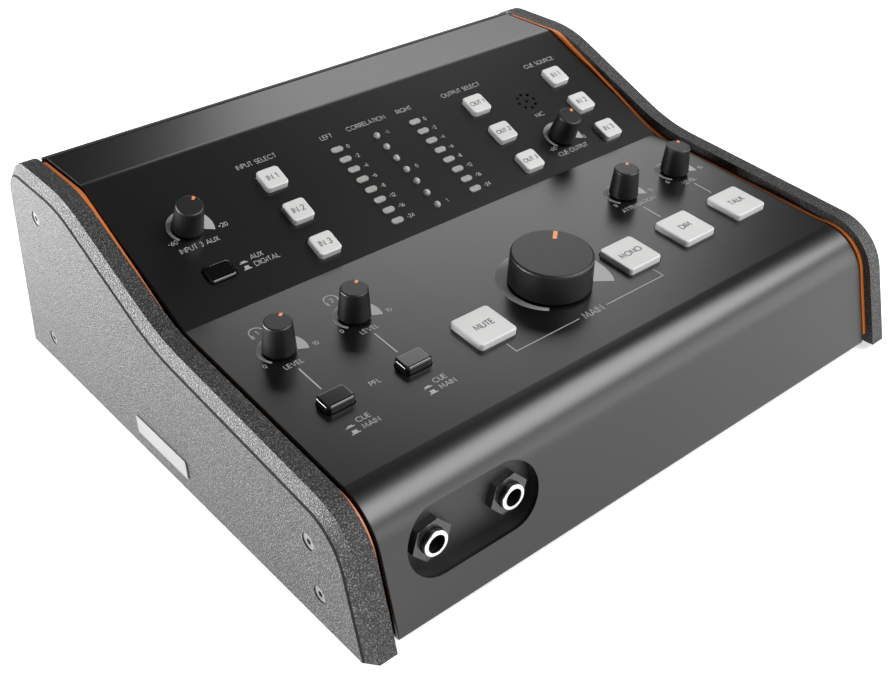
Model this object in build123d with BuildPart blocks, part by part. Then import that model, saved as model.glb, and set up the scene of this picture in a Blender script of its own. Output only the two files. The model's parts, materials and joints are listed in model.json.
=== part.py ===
"""Desktop studio monitor controller: a wedge-shaped console in an assembly of named pieces.

A bent sheet-steel cover carries the knobs, push buttons, meters and a talkback microphone. Two orange
side plates close the chassis and two thick textured cheeks are bolted on outside them. Behind the
panels sit the circuit boards, potentiometers, switches and jack sockets.

Millimetres. +Z up, +X to the right and +Y to the back, seen from the user's side. The origin is the
centre of the whole object's footprint, on the surface that the feet stand on.
"""

import os
from math import atan2, cos, hypot, radians, sin, tan

from build123d import *

os.makedirs("parts", exist_ok=True)

# ---------------------------------------------------------------- driving dimensions
COVER_HALF = 119.0  # half the width of the top cover
EDGE_GAP = 2.9  # between the cover's edge and a cheek
CHEEK_T = 10.1
CHEEK_PROUD = 2.7  # how far a cheek stands out of the cover's surface
CHEEK_STRIP_PROUD = 0.4  # the same beside the top strip
SHEET = 1.5  # sheet steel
FOOT_DROP = 3.5  # from the cheeks' lower edge down to the table

# side profile of the cover's outer surface: distance behind the toe, height above the cheeks' foot
REAR_TOP = (214.0, 89.8)
BROW = (183.6, 88.7)
CREASE = (115.1, 56.9)
FOLD = (9.1, 44.9)
TOE = (0.0, 0.6)
CHEEK_REAR_FOOT = 244.0

BROW_R = 5.0
CREASE_R = 1.2
FOLD_R = 19.5
TOE_R = 1.0
EDGE_BREAK = 0.3  # chamfer along the cover's two cut sides

SMALL_CAP = 9.9
BIG_CAP = 17.0
LATCH_CAP = (11.4, 7.9)
LATCH_CORNER = 1.8
CAP_LIFT = 2.4  # white caps above the panel
LATCH_LIFT = 3.2
LATCHED_LIFT = 1.0  # the one black cap that is stored pressed in
CAP_PLAY = 0.35  # gap round a cap in its opening
LATCH_SLOT = (LATCH_CAP[0] + 2 * CAP_PLAY, LATCH_CAP[1] + 2 * CAP_PLAY)
FLANGE_LIP = 1.0

KNOB_FOOT = 0.8  # gap between a knob and the panel
KNOB_H = 12.7
MAIN_KNOB_H = 13.2
MAIN_KNOB_R = 15.8
SHAFT_R = 3.0
RUNNING = 0.05  # radial clearance of a turning or sliding fit

BOARD_DEPTH = 14.0  # from the panel's surface to the board behind it
BOARD_T = 1.6
SWITCH_TOP = 9.0
LATCH_TOP = 6.6
POT_TOP = 6.0

JACK_BORE_R = 3.25
JACK_BUSH_R = 4.5
JACK_NUT_AF = 13.5
JACK_BODY = (15.0, 14.0, 20.0)

# ---------------------------------------------------------------- panel layout
# across the panel, then down the slope from the panel's upper bend
INPUT_X, OUTPUT_X, CUE_X = -53.3, 51.5, 98.4
BUTTON_ROWS = (27.8, 46.2, 64.6)
AUX_KNOB = (-94.5, 35.0)
AUX_LATCH = (-94.7, 58.0)
CUE_KNOB = (75.7, 58.6)
MIC_AT = (75.7, 34.5)
MIC_HOLE_CIRCLE_R = 4.2
MIC_HOLE_R = 0.75
METER_X = 20.0
METER_TOP = 24.5
METER_PITCH = 6.0
METER_COUNT = 8
METER_LED = (5.4, 2.6)
METER_LED_CORNER = 1.25
PHASE_PITCH = 7.0
PHASE_COUNT = 7
PHASE_LED_R = 1.5

PHONES_KNOBS = ((-98.8, 28.0), (-67.5, 28.0))
ATTENUATION_KNOB = (68.9, 28.0)
TALK_KNOB = (100.0, 28.0)
MAIN_KNOB = (2.0, 54.2)
PHONES_LATCHES = ((-99.0, 60.8), (-67.3, 60.8))
BIG_ROW = 60.9
BIG_BUTTONS = {"mute": -36.2, "mono": 37.7, "dim": 68.9, "talk": 100.0}

RECESS = (-83.5, 20.0)  # centre of the headphone recess, down from the fold
RECESS_SIZE = (53.2, 24.2)
PHONES_X = (-99.6, -68.1)
PHONES_Z = 25.0
RECESS_FLOOR = 9.7  # the vertical floor's distance behind the toe
RECESS_FLOOR_T = 2.0

REAR_JACK_COLUMNS = (-45.0, -26.0, -7.0, 12.0, 31.0, 50.0)
REAR_JACK_ROWS = (30.0, 58.0)
PHONO_AT = ((-76.0, 30.0), (-76.0, 58.0), (-98.0, 58.0))
INLET_AT = (92.0, 30.0)
ROCKER_AT = (88.0, 58.0)
REAR_SCREWS = ((-110.0, 84.0), (-36.0, 84.0), (36.0, 84.0), (110.0, 84.0))
REAR_LOW_SCREWS = ((-110.0, 8.0), (-36.0, 8.0), (36.0, 8.0), (110.0, 8.0))
FEET_AT = ((-98.0, 20.0), (98.0, 20.0), (-98.0, 216.0), (98.0, 216.0))
TOE_SCREWS_X = (-100.0, -35.0, 35.0, 100.0)
CHEEK_SCREWS = ((202.2, 72.4), (214.7, 12.3), (24.8, 31.8), (21.8, 12.6))
BADGE_AT = (121.5, 11.0)
BADGE_SIZE = (37.0, 7.8)

# ---------------------------------------------------------------- derived sizes
LEAN = atan2(FOLD[0] - TOE[0], FOLD[1] - TOE[1])  # the front and the rear both lean inward
CHEEK_IN = COVER_HALF + EDGE_GAP
CHEEK_OUT = CHEEK_IN + CHEEK_T
LINER_T = 1.7
LINER_IN = CHEEK_IN - LINER_T
TRAY_Z = TOE[1] + SHEET


def cross(line_a, line_b):
    """Where two lines of the side profile meet; each line is a pair of points."""
    (ay, az), (by, bz) = line_a
    (cy, cz), (dy, dz) = line_b
    turn = (by - ay) * (dz - cz) - (bz - az) * (dy - cy)
    t = ((cy - ay) * (dz - cz) - (cz - az) * (dy - cy)) / turn
    return (ay + t * (by - ay), az + t * (bz - az))


def moved_line(start, end, out):
    """The line from start to end, moved square to itself, out of the body as paths run forward over it."""
    length = hypot(end[0] - start[0], end[1] - start[1])
    ny = (end[1] - start[1]) / length
    nz = -(end[0] - start[0]) / length
    return ((start[0] + ny * out, start[1] + nz * out), (end[0] + ny * out, end[1] + nz * out))


def moved_path(points, out):
    """An open path moved outward by a constant distance, with mitred corners."""
    lines = [moved_line(a, b, out) for a, b in zip(points, points[1:])]
    corners = [cross(a, b) for a, b in zip(lines, lines[1:])]
    return [lines[0][0], *corners, lines[-1][1]]


_cheek_top = moved_path((BROW, CREASE, FOLD, TOE), CHEEK_PROUD)
_cheek_strip = moved_line(REAR_TOP, BROW, CHEEK_STRIP_PROUD)
_cheek_brow = cross(_cheek_strip, (_cheek_top[0], _cheek_top[1]))
_ground = ((0.0, 0.0), (1.0, 0.0))
_rear_line = ((CHEEK_REAR_FOOT, 0.0), (CHEEK_REAR_FOOT - tan(LEAN), 1.0))
CHEEK_PROFILE = (
    (CHEEK_REAR_FOOT, 0.0),
    cross(_rear_line, _cheek_strip),
    _cheek_brow,
    _cheek_top[1],
    _cheek_top[2],
    cross((_cheek_top[2], _cheek_top[3]), _ground),
)
SHIFT_Y = -(CHEEK_REAR_FOOT + CHEEK_PROFILE[-1][0]) / 2  # puts the footprint's centre at the origin
SHIFT_Z = FOOT_DROP


def place(point):
    """A point of the side profile in the part's own frame."""
    return (point[0] + SHIFT_Y, point[1] + SHIFT_Z)


def panel(upper_end, lower_end):
    """The plane of one flat of the cover: origin at its upper bend, y up the slope, z outward."""
    (y0, z0), (y1, z1) = place(upper_end), place(lower_end)
    length = hypot(y1 - y0, z1 - z0)
    return Plane(origin=(0, y0, z0), x_dir=(1, 0, 0), z_dir=(0, (z1 - z0) / length, (y0 - y1) / length))


UPPER = panel(BROW, CREASE)
LOWER = panel(CREASE, FOLD)
FRONT = panel(FOLD, TOE)
REAR_FOOT = cross((REAR_TOP, (REAR_TOP[0] + tan(LEAN), REAR_TOP[1] - 1.0)), ((0.0, TRAY_Z), (1.0, TRAY_Z)))
REAR = Plane(
    origin=(0, *place(REAR_FOOT)), x_dir=(-1, 0, 0), z_dir=(0, cos(LEAN), sin(LEAN))
)  # inner face of the rear panel, y up the slope and x to the right when seen from behind
REAR_OUT = REAR.offset(SHEET)
REAR_H = (REAR_TOP[1] - TRAY_Z) / cos(LEAN)
JACK_FRONT = Plane(
    origin=(0, *place((RECESS_FLOOR, PHONES_Z))), x_dir=(1, 0, 0), z_dir=(0, -1, 0)
)


def on(points):
    """Panel positions as sketch positions: distances down the slope are negative there."""
    return [(x, -s) for x, s in points]


def spot(base, x, s, lift=0.0):
    """A plane parallel to a panel, with its origin over one position and lifted off the surface."""
    return Plane(origin=base.from_local_coords((x, -s, lift)), x_dir=base.x_dir, z_dir=base.z_dir)


def top_face(piece, base):
    """The flat face of a piece that stands furthest out from a panel."""
    flats = piece.faces().filter_by(GeomType.PLANE)
    return flats.sort_by(lambda face: base.to_local_coords(face.center()).Z)[-1]


def finish_piece(piece, name):
    """Names a finished piece and writes its STEP file."""
    piece.part.label = name
    export_step(piece.part, f"parts/{name}.step")


def round_profile(sketch, corners):
    """Rounds corners of a side profile; each is a profile point and a radius."""
    for point, radius in corners:
        target = Vector(*place(point), 0)
        fillet(sketch.vertices().sort_by(lambda v: (v.center() - target).length)[0], radius)


def band(path, thickness):
    """The outline of a bent sheet whose outer side is the path."""
    outer = [place(p) for p in path]
    inner = [place(p) for p in moved_path(path, -thickness)]
    return [*outer, *reversed(inner)]


SMALL_BUTTONS = {}
for _row, _s in enumerate(BUTTON_ROWS, start=1):
    SMALL_BUTTONS[f"input_button_{_row}"] = (INPUT_X, _s)
    SMALL_BUTTONS[f"output_button_{_row}"] = (OUTPUT_X, _s)
    SMALL_BUTTONS[f"cue_button_{_row}"] = (CUE_X, _s)
LATCH_BUTTONS = {
    "aux_latch_button": (UPPER, *AUX_LATCH, LATCHED_LIFT),
    "phones_latch_button_1": (LOWER, *PHONES_LATCHES[0], LATCH_LIFT),
    "phones_latch_button_2": (LOWER, *PHONES_LATCHES[1], LATCH_LIFT),
}
SMALL_KNOBS = {
    "aux": (UPPER, *AUX_KNOB),
    "cue_output": (UPPER, *CUE_KNOB),
    "phones_1": (LOWER, *PHONES_KNOBS[0]),
    "phones_2": (LOWER, *PHONES_KNOBS[1]),
    "attenuation": (LOWER, *ATTENUATION_KNOB),
    "talk_level": (LOWER, *TALK_KNOB),
}
METER_POINTS = [(x, METER_TOP + i * METER_PITCH) for x in (-METER_X, METER_X) for i in range(METER_COUNT)]
PHASE_POINTS = [(0.0, METER_TOP + i * PHASE_PITCH) for i in range(PHASE_COUNT)]

# ---------------------------------------------------------------- top cover
FLANGE_DEPTH = 12.0
_rear_flange_end = (REAR_TOP[0] + FLANGE_DEPTH * sin(LEAN), REAR_TOP[1] - FLANGE_DEPTH * cos(LEAN))
_toe_flange_end = (TOE[0] + FLANGE_DEPTH, TOE[1])
COVER_PATH = (_rear_flange_end, REAR_TOP, BROW, CREASE, FOLD, TOE, _toe_flange_end)
_cover_inner = moved_path(COVER_PATH, -SHEET)
CUT = SHEET + 2.0  # depth of a cut that passes through the sheet

with BuildPart() as top_cover:
    with BuildSketch(Plane.YZ) as cover_profile:
        with BuildLine():
            Polyline(*band(COVER_PATH, SHEET), close=True)
        make_face()
        round_profile(
            cover_profile,
            (
                (REAR_TOP, 2.2),
                (_cover_inner[1], 0.7),
                (BROW, BROW_R),
                (_cover_inner[2], BROW_R - SHEET),
                (CREASE, CREASE_R),
                (_cover_inner[3], CREASE_R + SHEET),
                (FOLD, FOLD_R),
                (_cover_inner[4], FOLD_R - SHEET),
                (TOE, TOE_R),
            ),
        )
    extrude(amount=COVER_HALF, both=True)
    for _end in (top_cover.faces().sort_by(Axis.X)[0], top_cover.faces().sort_by(Axis.X)[-1]):
        chamfer(_end.edges(), EDGE_BREAK)
    with BuildSketch(UPPER.offset(1.0)):
        with Locations(*on(SMALL_BUTTONS.values())):
            RectangleRounded(SMALL_CAP + 2 * CAP_PLAY, SMALL_CAP + 2 * CAP_PLAY, 1.8)
        with Locations(*on([AUX_LATCH])):
            RectangleRounded(*LATCH_SLOT, LATCH_CORNER + CAP_PLAY)
        with Locations(*on(METER_POINTS)):
            RectangleRounded(METER_LED[0] + 0.2, METER_LED[1] + 0.2, METER_LED_CORNER + 0.1)
        with Locations(*on(PHASE_POINTS)):
            Circle(PHASE_LED_R + 0.1)
        with Locations(*on([AUX_KNOB, CUE_KNOB])):
            Circle(SHAFT_R + 0.4)
        with Locations(*on([MIC_AT])):
            Circle(MIC_HOLE_R)
            with PolarLocations(MIC_HOLE_CIRCLE_R, 8):
                Circle(MIC_HOLE_R)
    extrude(amount=-CUT - 1.0, mode=Mode.SUBTRACT)
    with BuildSketch(LOWER.offset(1.0)):
        with Locations(*on([(x, BIG_ROW) for x in BIG_BUTTONS.values()])):
            RectangleRounded(BIG_CAP + 2 * CAP_PLAY, BIG_CAP + 2 * CAP_PLAY, 1.8)
        with Locations(*on(PHONES_LATCHES)):
            RectangleRounded(*LATCH_SLOT, LATCH_CORNER + CAP_PLAY)
        with Locations(*on([*PHONES_KNOBS, ATTENUATION_KNOB, TALK_KNOB, MAIN_KNOB])):
            Circle(SHAFT_R + 0.4)
    extrude(amount=-CUT - 1.0, mode=Mode.SUBTRACT)
    with BuildSketch(FRONT.offset(1.0)):
        with Locations(*on([RECESS])):
            SlotOverall(*RECESS_SIZE)
    extrude(amount=-CUT - 1.0, mode=Mode.SUBTRACT)
    with BuildSketch(REAR.offset(1.0)):
        with Locations(*REAR_SCREWS):
            Circle(SHEET)
    extrude(amount=-CUT - 1.0, mode=Mode.SUBTRACT)
    with BuildSketch(Plane.XY.offset(SHIFT_Z)):
        with Locations(*[(x, place((7.0, 0.0))[0]) for x in TOE_SCREWS_X]):
            Circle(SHEET)
    extrude(amount=TRAY_Z, mode=Mode.SUBTRACT)
finish_piece(top_cover, "top_cover")

# ---------------------------------------------------------------- chassis
TRAY_LIP = 8.0
_front_in = moved_line(FOLD, TOE, -SHEET)
_tray_front = cross(_front_in, ((0.0, TRAY_Z), (1.0, TRAY_Z)))
_lip_top = (_tray_front[0] + TRAY_LIP * sin(LEAN), _tray_front[1] + TRAY_LIP * cos(LEAN))
_rear_lip_top = (REAR_FOOT[0] - TRAY_LIP * sin(LEAN), REAR_FOOT[1] + TRAY_LIP * cos(LEAN))
TRAY_PATH = (_lip_top, _tray_front, REAR_FOOT, _rear_lip_top)

with BuildPart() as base_tray:
    with BuildSketch(Plane.YZ) as tray_profile:
        with BuildLine():
            Polyline(*band(TRAY_PATH, SHEET), close=True)
        make_face()
        round_profile(
            tray_profile,
            ((_tray_front, 1.5), (REAR_FOOT, 1.5)),
        )
    extrude(amount=COVER_HALF - 2.0, both=True)
    for side in (-1, 1):
        with BuildSketch(Plane.YZ.offset(side * (COVER_HALF - 2.0))):
            _y0, _z0 = place((8.0, TRAY_Z))
            _y1, _z1 = place((224.0, TRAY_Z + SHEET))
            with Locations(((_y0 + _y1) / 2, (_z0 + _z1) / 2)):
                Rectangle(_y1 - _y0, _z1 - _z0)
        extrude(amount=side * (LINER_IN - COVER_HALF + 2.0))
        with BuildSketch(Plane.YZ.offset(side * (LINER_IN - SHEET))):
            with Locations(((_y0 + _y1) / 2, _z1 + 7.0)):
                Rectangle(_y1 - _y0, 14.0)
        extrude(amount=side * SHEET)
    with BuildSketch(Plane.XY.offset(SHIFT_Z)):
        with Locations(*[(x, place((7.0, 0.0))[0]) for x in TOE_SCREWS_X]):
            Circle(SHEET)
        with Locations(*[(x, place((y, 0.0))[0]) for x, y in FEET_AT]):
            Circle(SHEET)
    extrude(amount=TRAY_Z + 4.0, mode=Mode.SUBTRACT)
    with BuildSketch(REAR.offset(1.0)):
        with Locations(*REAR_LOW_SCREWS):
            Circle(SHEET)
    extrude(amount=-CUT - 1.0, mode=Mode.SUBTRACT)
    with BuildSketch(Plane.YZ.offset(-CHEEK_OUT)):
        with Locations(*[place(p) for p in (CHEEK_SCREWS[1], CHEEK_SCREWS[3])]):
            Circle(1.6)
    extrude(amount=2 * CHEEK_OUT, mode=Mode.SUBTRACT)
finish_piece(base_tray, "base_tray")

ROCKER_FRAME = (21.0, 15.0)
ROCKER_POCKET = (17.8, 11.4)
ROCKER_CUTOUT = (19.4, 13.0)
with BuildPart() as rear_panel:
    with BuildSketch(REAR):
        with Locations((0, REAR_H / 2 - 0.2)):
            Rectangle(2 * LINER_IN, REAR_H - 0.4)
        with Locations(*[(x, v) for x in REAR_JACK_COLUMNS for v in REAR_JACK_ROWS]):
            Circle(JACK_BUSH_R, mode=Mode.SUBTRACT)
        with Locations(*PHONO_AT):
            Circle(4.5, mode=Mode.SUBTRACT)
        with Locations(INLET_AT):
            Circle(5.5, mode=Mode.SUBTRACT)
        with Locations(ROCKER_AT):
            Rectangle(*ROCKER_CUTOUT, mode=Mode.SUBTRACT)
        with Locations(*REAR_SCREWS, *REAR_LOW_SCREWS):
            Circle(SHEET, mode=Mode.SUBTRACT)
    extrude(amount=SHEET)
finish_piece(rear_panel, "rear_panel")

# orange side plates: their edge shows beside the cover at the two outer bends and dips between them
LINER_SHOW = 1.7
LINER_DIP = -2.0
LINER_STRIP = -0.25
LINER_FOOT = 4.0
LINER_TOE = -0.4


def lifted(point, toward, out):
    """A profile point moved outward by a distance, at right angles to the run towards another point."""
    return moved_line(point, toward, out)[0]


_liner_turn = (BROW[0] + 0.6 * (CREASE[0] - BROW[0]), BROW[1] + 0.6 * (CREASE[1] - BROW[1]))
_slope_end = (FOLD[0] + 0.2 * (CREASE[0] - FOLD[0]), FOLD[1] + 0.2 * (CREASE[1] - FOLD[1]))
_liner_front = moved_line(FOLD, TOE, LINER_TOE)
_liner_slope = moved_line(CREASE, FOLD, 0.6 * LINER_SHOW)
_liner_ground = ((0.0, LINER_FOOT), (1.0, LINER_FOOT))
LINER_PROFILE = (
    (REAR_FOOT[0] + SHEET, LINER_FOOT),
    (REAR_TOP[0] + SHEET, REAR_TOP[1] + LINER_STRIP),
    cross(moved_line(REAR_TOP, BROW, LINER_STRIP), moved_line(BROW, CREASE, LINER_SHOW)),
    lifted(_liner_turn, CREASE, 0.0),
    lifted(CREASE, FOLD, LINER_DIP),
    lifted(_slope_end, FOLD, 0.5 * LINER_DIP),
    cross(_liner_slope, _liner_front),
    cross(_liner_front, _liner_ground),
)


def make_side_plate(side):
    """One orange side plate; side is -1 on the left and 1 on the right."""
    with BuildPart() as plate:
        with BuildSketch(Plane.YZ.offset(side * LINER_IN)) as outline:
            with BuildLine():
                Polyline(*[place(p) for p in LINER_PROFILE], close=True)
            make_face()
            round_profile(
                outline,
                (
                    (LINER_PROFILE[1], 7.0),
                    (LINER_PROFILE[2], 18.0),
                    (LINER_PROFILE[3], 60.0),
                    (LINER_PROFILE[4], 60.0),
                    (LINER_PROFILE[6], FOLD_R - 2.0),
                ),
            )
            with Locations(*[place(p) for p in CHEEK_SCREWS]):
                Circle(1.6, mode=Mode.SUBTRACT)
        extrude(amount=side * LINER_T)
    return plate


for _name, _side in (("side_plate_left", -1), ("side_plate_right", 1)):
    finish_piece(make_side_plate(_side), _name)

# ---------------------------------------------------------------- cheeks
CHEEK_CHAMFER = (4.3, 3.4)  # across the face, then down the edge
SEAT_R = 3.0
SEAT_DEPTH = 2.2


def make_cheek(side):
    """One thick side cheek, chamfered round its outer face except along its foot, with four screw seats."""
    with BuildPart() as cheek:
        with BuildSketch(Plane.YZ.offset(side * CHEEK_IN)) as outline:
            with BuildLine():
                Polyline(*[place(p) for p in CHEEK_PROFILE], close=True)
            make_face()
            round_profile(
                outline,
                (
                    (CHEEK_PROFILE[1], 16.0),
                    (CHEEK_PROFILE[2], 56.0),
                    (CHEEK_PROFILE[3], 80.0),
                    (CHEEK_PROFILE[4], FOLD_R + CHEEK_PROUD),
                ),
            )
        extrude(amount=side * CHEEK_T)
        face = cheek.faces().sort_by(Axis.X)[0 if side < 0 else -1]
        rim = face.edges().sort_by(Axis.Z)[1:]
        chamfer(rim, length=CHEEK_CHAMFER[0], length2=CHEEK_CHAMFER[1], reference=face)
        with BuildSketch(Plane.YZ.offset(side * CHEEK_OUT)):
            with Locations(*[place(p) for p in CHEEK_SCREWS]):
                Circle(SEAT_R)
        extrude(amount=-side * SEAT_DEPTH, mode=Mode.SUBTRACT)
        with BuildSketch(Plane.YZ.offset(side * CHEEK_OUT)):
            with Locations(*[place(p) for p in CHEEK_SCREWS]):
                Circle(1.6)
        extrude(amount=-side * CHEEK_T, mode=Mode.SUBTRACT)
    return cheek


for _name, _side in (("cheek_left", -1), ("cheek_right", 1)):
    finish_piece(make_cheek(_side), _name)

with BuildPart() as cheek_screws:
    for side in (-1, 1):
        with BuildSketch(Plane.YZ.offset(side * (CHEEK_OUT - SEAT_DEPTH))):
            with Locations(*[place(p) for p in CHEEK_SCREWS]):
                Circle(2.85)
        extrude(amount=side * 1.9)
        with BuildSketch(Plane.YZ.offset(side * (CHEEK_OUT - SEAT_DEPTH))):
            with Locations(*[place(p) for p in CHEEK_SCREWS]):
                Circle(1.5)
        extrude(amount=-side * 12.5)
        with BuildSketch(Plane.YZ.offset(side * CHEEK_OUT)):
            with Locations(*[place(p) for p in CHEEK_SCREWS]):
                RegularPolygon(1.0, 6, major_radius=False)
        extrude(amount=-side * 1.8, mode=Mode.SUBTRACT)
finish_piece(cheek_screws, "cheek_screws")

with BuildPart() as side_badges:
    for side in (-1, 1):
        with BuildSketch(Plane.YZ.offset(side * CHEEK_OUT)):
            with Locations(place(BADGE_AT)):
                RectangleRounded(*BADGE_SIZE, 0.6)
        extrude(amount=side * 0.6)
finish_piece(side_badges, "side_badges")

# ---------------------------------------------------------------- headphone recess
with BuildPart() as recess_pocket:
    with BuildSketch(FRONT.offset(1.0)):
        with Locations(*on([RECESS])):
            SlotOverall(*RECESS_SIZE)
    extrude(amount=-20.0)
    split(bisect_by=JACK_FRONT, keep=Keep.TOP)

with BuildPart() as cover_inside:
    with BuildSketch(Plane.YZ) as inside_profile:
        with BuildLine():
            Polyline(*[place(p) for p in _cover_inner[2:6]], close=True)
        make_face()
        round_profile(inside_profile, ((_cover_inner[4], FOLD_R - SHEET),))
    extrude(amount=COVER_HALF, both=True)

with BuildPart() as jack_plate:
    with BuildSketch(FRONT):
        with Locations(*on([RECESS])):
            SlotOverall(RECESS_SIZE[0] + 4.0, RECESS_SIZE[1] + 4.0)
    extrude(amount=-20.0)
    add(cover_inside.part, mode=Mode.INTERSECT)
    split(bisect_by=JACK_FRONT.offset(-RECESS_FLOOR_T), keep=Keep.TOP)
    add(recess_pocket.part, mode=Mode.SUBTRACT)
    with BuildSketch(JACK_FRONT):
        with Locations(*[(x, 0) for x in PHONES_X]):
            Circle(JACK_BUSH_R)
    extrude(amount=-10.0, mode=Mode.SUBTRACT)
finish_piece(jack_plate, "jack_plate")

# ---------------------------------------------------------------- jack sockets, front and rear
NUT_T = 3.0
BUSH_OUT = 4.4  # the bushing's end, out from the wall
RING_T = 0.9
JACK_DEPTH = 18.0
REAR_JACKS = [(x, v) for x in REAR_JACK_COLUMNS for v in REAR_JACK_ROWS]
JACK_SETS = (
    (JACK_FRONT, [(x, 0.0) for x in PHONES_X], RECESS_FLOOR_T),
    (REAR_OUT, REAR_JACKS, SHEET),
)

with BuildPart() as jack_sockets:
    for wall, points, thickness in JACK_SETS:
        with BuildSketch(wall.offset(-thickness)):
            with Locations(*points):
                RectangleRounded(JACK_BODY[0], JACK_BODY[1], 1.0)
        extrude(amount=-JACK_BODY[2])
        with BuildSketch(wall.offset(-thickness)):
            with Locations(*points):
                Circle(JACK_BUSH_R)
        extrude(amount=BUSH_OUT + thickness)
        with BuildSketch(wall.offset(BUSH_OUT)):
            with Locations(*points):
                Circle(JACK_BORE_R)
        extrude(amount=-BUSH_OUT - thickness - JACK_DEPTH, mode=Mode.SUBTRACT)
finish_piece(jack_sockets, "jack_sockets")

with BuildPart() as jack_nuts:
    for wall, points, thickness in JACK_SETS:
        with BuildSketch(wall):
            with Locations(*points):
                RegularPolygon(JACK_NUT_AF / 2, 6, major_radius=False, rotation=12)
        extrude(amount=NUT_T)
        with BuildSketch(wall):
            with Locations(*points):
                Circle(JACK_BUSH_R)
        extrude(amount=NUT_T, mode=Mode.SUBTRACT)
    chamfer(jack_nuts.edges().filter_by(GeomType.CIRCLE), 0.3)
finish_piece(jack_nuts, "jack_nuts")

with BuildPart() as jack_rings:
    for wall, points, thickness in JACK_SETS:
        with BuildSketch(wall.offset(BUSH_OUT)):
            with Locations(*points):
                Circle(4.6)
                Circle(JACK_BORE_R, mode=Mode.SUBTRACT)
        extrude(amount=RING_T)
    fillet(jack_rings.edges().filter_by(GeomType.CIRCLE).filter_by(lambda e: e.radius > 4), 0.35)
finish_piece(jack_rings, "jack_rings")

with BuildPart() as phono_sockets:
    with BuildSketch(REAR):
        with Locations(*PHONO_AT):
            Rectangle(11.0, 12.0)
    extrude(amount=SHEET - JACK_BODY[2] - SHEET)
    with BuildSketch(REAR):
        with Locations(*PHONO_AT):
            Circle(4.4)
    extrude(amount=SHEET)
    with BuildSketch(REAR_OUT):
        with Locations(*PHONO_AT):
            Circle(6.2)
    extrude(amount=1.2)
    with BuildSketch(REAR_OUT):
        with Locations(*PHONO_AT):
            Circle(4.15)
    extrude(amount=8.0)
    with BuildSketch(REAR_OUT.offset(8.0)):
        with Locations(*PHONO_AT):
            Circle(1.7)
    extrude(amount=-9.0, mode=Mode.SUBTRACT)
finish_piece(phono_sockets, "phono_sockets")

with BuildPart() as power_inlet:
    with BuildSketch(REAR_OUT):
        with Locations(INLET_AT):
            Circle(7.0)
    extrude(amount=2.0)
    with BuildSketch(REAR_OUT):
        with Locations(INLET_AT):
            Circle(5.4)
    extrude(amount=-SHEET - 12.0)
    with BuildSketch(REAR_OUT.offset(2.0)):
        with Locations(INLET_AT):
            Circle(2.85)
    extrude(amount=-11.0, mode=Mode.SUBTRACT)
    with BuildSketch(REAR_OUT.offset(-9.0)):
        with Locations(INLET_AT):
            Circle(1.0)
    extrude(amount=10.0)
finish_piece(power_inlet, "power_inlet")

# ---------------------------------------------------------------- power rocker
ROCKER_TILT = 8.0
ROCKER_PIN_R = 1.2
ROCKER_AXIS_LIFT = -0.8  # the pivot, out from the rear panel's face
ROCKER_PIVOT = REAR_OUT.from_local_coords((*ROCKER_AT, ROCKER_AXIS_LIFT))
ROCKER_AXLE = Plane(origin=ROCKER_PIVOT, x_dir=REAR_OUT.x_dir, z_dir=-REAR_OUT.y_dir)
_tilt = radians(ROCKER_TILT)
ROCKER_PLANE = Plane(
    origin=ROCKER_PIVOT,
    x_dir=REAR_OUT.x_dir * cos(_tilt) + REAR_OUT.z_dir * sin(_tilt),
    z_dir=-REAR_OUT.y_dir,
)
with BuildPart() as rocker_frame:
    with BuildSketch(REAR_OUT):
        with Locations(ROCKER_AT):
            RectangleRounded(*ROCKER_FRAME, 1.2)
    extrude(amount=1.8)
    with BuildSketch(REAR_OUT):
        with Locations(ROCKER_AT):
            Rectangle(*ROCKER_CUTOUT)
    extrude(amount=-16.0)
    with BuildSketch(REAR_OUT.offset(1.8)):
        with Locations(ROCKER_AT):
            Rectangle(*ROCKER_POCKET)
    extrude(amount=-11.0, mode=Mode.SUBTRACT)
    with BuildSketch(ROCKER_AXLE):
        Circle(ROCKER_PIN_R + RUNNING)
    extrude(amount=6.3, both=True, mode=Mode.SUBTRACT)
finish_piece(rocker_frame, "rocker_frame")

with BuildPart() as power_rocker:
    with BuildSketch(ROCKER_PLANE):
        with BuildLine():
            Polyline((-8.1, 4.4), (0, 3.0), (8.1, 4.4), (6.4, -2.6), (-6.4, -2.6), close=True)
        make_face()
    extrude(amount=5.4, both=True)
    with BuildSketch(ROCKER_PLANE):
        Circle(ROCKER_PIN_R)
    extrude(amount=6.2, both=True)
finish_piece(power_rocker, "power_rocker")

# ---------------------------------------------------------------- circuit boards and spacers
UPPER_BOARD = (14.0, 73.0)
LOWER_BOARD = (8.0, 73.5)
BOARD_HALF = 112.0
PANEL_BOARDS = (("upper_board", UPPER, UPPER_BOARD), ("lower_board", LOWER, LOWER_BOARD))
for _name, _panel, (_start, _end) in PANEL_BOARDS:
    with BuildPart() as board:
        with BuildSketch(_panel.offset(-BOARD_DEPTH)):
            with Locations((0, -(_start + _end) / 2)):
                Rectangle(2 * BOARD_HALF, _end - _start)
        extrude(amount=-BOARD_T)
    finish_piece(board, _name)

CONNECTOR_BOARD_DEPTH = SHEET + JACK_BODY[2]
with BuildPart() as connector_board:
    with BuildSketch(REAR_OUT.offset(-CONNECTOR_BOARD_DEPTH)):
        with Locations((0, 43.0)):
            Rectangle(214.0, 62.0)
    extrude(amount=-BOARD_T)
finish_piece(connector_board, "connector_board")

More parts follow.
